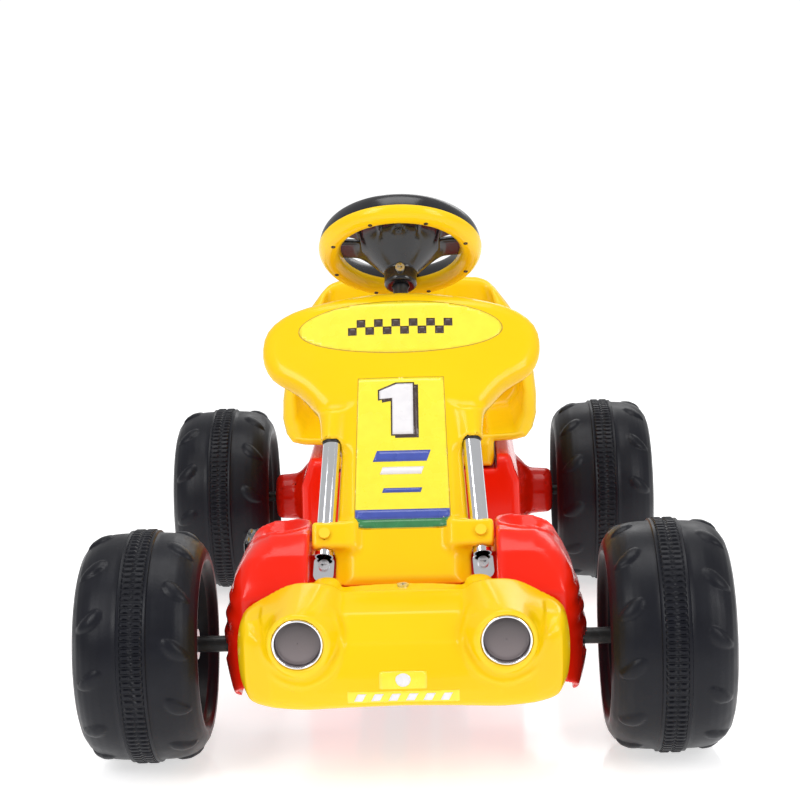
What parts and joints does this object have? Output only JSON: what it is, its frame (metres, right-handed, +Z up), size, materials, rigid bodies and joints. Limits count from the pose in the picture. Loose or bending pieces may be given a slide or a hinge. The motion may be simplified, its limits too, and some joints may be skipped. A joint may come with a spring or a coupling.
{
  "type": "pedal go kart",
  "caption": "Child's pedal kart: moulded body, front fairing and bumper, bucket seat, steering wheel turning the front wheels, pedals driving the rear axle.",
  "frame": {"origin": "on the ground, at the middle of the kart's length and width", "axes": "+Y from the nose to the tail, +Z up, +X the driver's left; the kart's front faces -Y"},
  "size_m": [0.631, 0.855, 0.5365],
  "materials": {
    "red_plastic": "gloss",
    "yellow_plastic": "gloss",
    "yellow_cap": "gloss",
    "black_plastic": "satin",
    "wheel_black": "satin",
    "orange_cap": "gloss",
    "chrome": "mirror",
    "lamp_grey": "gloss",
    "zinc": "zinc plated",
    "black_steel": "satin black",
    "chain_steel": "oiled",
    "nylon": "matt"
  },
  "bodies": {
    "chassis": {"front_body": "red_plastic", "centre_tunnel": "red_plastic", "seat_base": "red_plastic", "frame_rail": "black_steel", "front_axle_beam": "black_steel", "kingpin_left": "zinc", "kingpin_right": "zinc", "front_bumper": "yellow_plastic", "bumper_screw": "zinc", "headlight_ring_left": "chrome", "headlight_ring_right": "chrome", "headlight_lens_left": "lamp_grey", "headlight_lens_right": "lamp_grey", "front_fairing": "yellow_plastic", "tab_rivet_left": "yellow_cap", "tab_rivet_right": "yellow_cap", "support_tube_left": "chrome", "support_tube_right": "chrome", "tube_screw_left": "zinc", "tube_screw_right": "zinc", "column_bracket": "black_plastic", "column_bush_lower": "nylon", "column_bush_upper": "nylon", "seat": "yellow_plastic", "seat_bolt_left": "zinc", "seat_bolt_right": "zinc", "crank_bush_left": "nylon", "crank_bush_right": "nylon", "rear_bush_left": "nylon", "rear_bush_right": "nylon", "drive_chain": "chain_steel"},
    "steering": {"steering_column": "black_steel", "steering_arm": "black_steel", "wheel_rim": "yellow_plastic", "wheel_top": "black_plastic", "boss_screw": "zinc"},
    "knuckle_left": {"knuckle_left": "black_steel", "front_axle_nut_left": "zinc", "front_axle_washer_left": "zinc"},
    "knuckle_right": {"knuckle_right": "black_steel", "front_axle_nut_right": "zinc", "front_axle_washer_right": "zinc"},
    "tie_rod": {"tie_rod": "black_steel"},
    "front_wheel_left": {"front_wheel_left": "wheel_black", "front_hub_cap_left": "orange_cap"},
    "front_wheel_right": {"front_wheel_right": "wheel_black", "front_hub_cap_right": "orange_cap"},
    "rear_axle": {"rear_axle": "black_steel", "drive_pin": "zinc", "rear_sprocket": "chain_steel", "rear_wheel_left": "wheel_black", "rear_hub_cap_left": "orange_cap", "rear_axle_nut_left": "zinc", "rear_axle_nut_right": "zinc"},
    "rear_wheel_right": {"rear_wheel_right": "wheel_black", "rear_hub_cap_right": "orange_cap"},
    "crank": {"pedal_crank": "black_steel", "front_sprocket": "chain_steel"},
    "pedal_left": {"pedal_left": "black_plastic"},
    "pedal_right": {"pedal_right": "black_plastic"}
  },
  "joints": [
    {"name": "steering_turn", "type": "hinge", "parent": "chassis", "child": "steering", "pos_m": [0, -0.27724, 0.16276], "axis": [0, 0.6157, 0.788], "range_deg": [-35, 35]},
    {"name": "knuckle_left_turn", "type": "hinge", "parent": "chassis", "child": "knuckle_left", "pos_m": [0.14, -0.2875, 0.115], "axis": [0, 0, 1], "range_deg": [-14, 14]},
    {"name": "knuckle_right_turn", "type": "hinge", "parent": "chassis", "child": "knuckle_right", "pos_m": [-0.14, -0.2875, 0.115], "axis": [0, 0, 1], "range_deg": [-14, 14]},
    {"name": "tie_rod_swing", "type": "hinge", "parent": "knuckle_left", "child": "tie_rod", "pos_m": [0.14, -0.3325, 0.1193], "axis": [0, 0, 1], "range_deg": [-14, 14]},
    {"name": "front_wheel_left_spin", "type": "hinge", "parent": "knuckle_left", "child": "front_wheel_left", "pos_m": [0.2545, -0.2875, 0.115], "axis": [1, 0, 0], "continuous": true},
    {"name": "front_wheel_right_spin", "type": "hinge", "parent": "knuckle_right", "child": "front_wheel_right", "pos_m": [-0.2545, -0.2875, 0.115], "axis": [1, 0, 0], "continuous": true},
    {"name": "rear_axle_spin", "type": "hinge", "parent": "chassis", "child": "rear_axle", "pos_m": [0, 0.3125, 0.115], "axis": [1, 0, 0], "continuous": true},
    {"name": "rear_wheel_right_spin", "type": "hinge", "parent": "rear_axle", "child": "rear_wheel_right", "pos_m": [-0.239, 0.3125, 0.115], "axis": [1, 0, 0], "continuous": true},
    {"name": "crank_spin", "type": "hinge", "parent": "chassis", "child": "crank", "pos_m": [0, -0.1075, 0.16], "axis": [1, 0, 0], "continuous": true},
    {"name": "pedal_left_spin", "type": "hinge", "parent": "crank", "child": "pedal_left", "pos_m": [0.123, -0.04074, 0.13303], "axis": [1, 0, 0], "continuous": true},
    {"name": "pedal_right_spin", "type": "hinge", "parent": "crank", "child": "pedal_right", "pos_m": [-0.123, -0.17426, 0.18697], "axis": [1, 0, 0], "continuous": true}
  ],
  "couplings": [
    {"joint": "knuckle_left_turn", "follows": "steering_turn", "ratio": 0.4},
    {"joint": "knuckle_right_turn", "follows": "steering_turn", "ratio": 0.4},
    {"joint": "tie_rod_swing", "follows": "steering_turn", "ratio": -0.4},
    {"joint": "crank_spin", "follows": "rear_axle_spin", "ratio": 0.77778}
  ]
}
